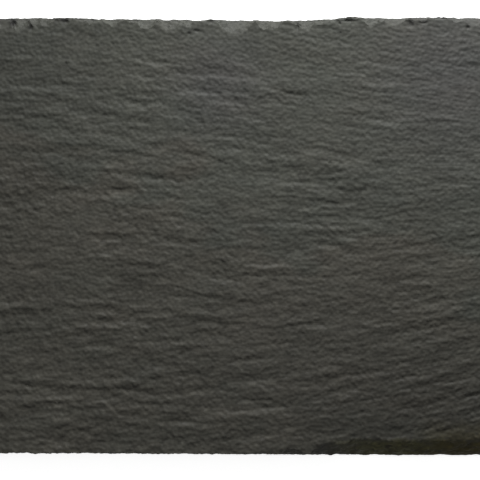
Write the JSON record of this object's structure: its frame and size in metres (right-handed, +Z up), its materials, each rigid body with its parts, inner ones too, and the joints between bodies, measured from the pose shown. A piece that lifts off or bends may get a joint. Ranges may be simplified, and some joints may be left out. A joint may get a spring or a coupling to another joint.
{
  "type": "slate slab",
  "caption": "Rectangular slab of split slate with a low riven relief on its faces and knapped, flaked edges; lies flat on its underside.",
  "frame": {"origin": "middle of the slab's bounding box in plan, on the surface it rests on", "axes": "+X along the slab's length, +Y across its width towards the side whose scars face up, +Z up from the underside to the face"},
  "size_m": [0.3, 0.2, 0.006],
  "materials": {
    "slate": "matte, dark grey, riven"
  },
  "bodies": {
    "root": {"slab": "slate"}
  },
  "joints": []
}
